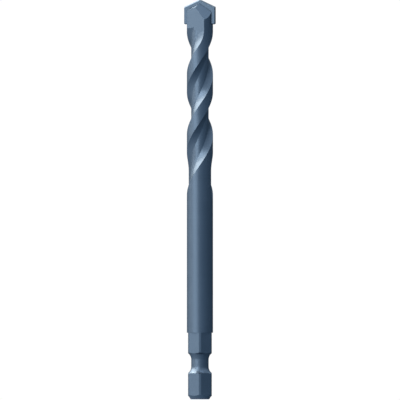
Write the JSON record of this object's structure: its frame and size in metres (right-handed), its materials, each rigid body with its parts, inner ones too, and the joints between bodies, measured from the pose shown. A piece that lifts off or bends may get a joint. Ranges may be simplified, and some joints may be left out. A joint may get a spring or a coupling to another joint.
{
  "type": "pilot drill bit",
  "caption": "Slim drill bit with helical flutes, a brazed carbide tip and a grooved hex shank, for starting and centring a hole in masonry or tile.",
  "frame": {"origin": "centre of the flat end face of the hex shank", "axes": "+Z along the bit's axis from the shank to the tip, -Y towards the side that the picture shows"},
  "size_m": [0.0084, 0.007, 0.1068],
  "materials": {
    "blued_steel": "satin blue-grey coating over steel",
    "carbide": "ground and coated",
    "braze": "thin line of filler under the same coating"
  },
  "bodies": {
    "root": {"drill_body": "blued_steel", "carbide_tip": "carbide", "braze_joint": "braze"}
  },
  "joints": []
}
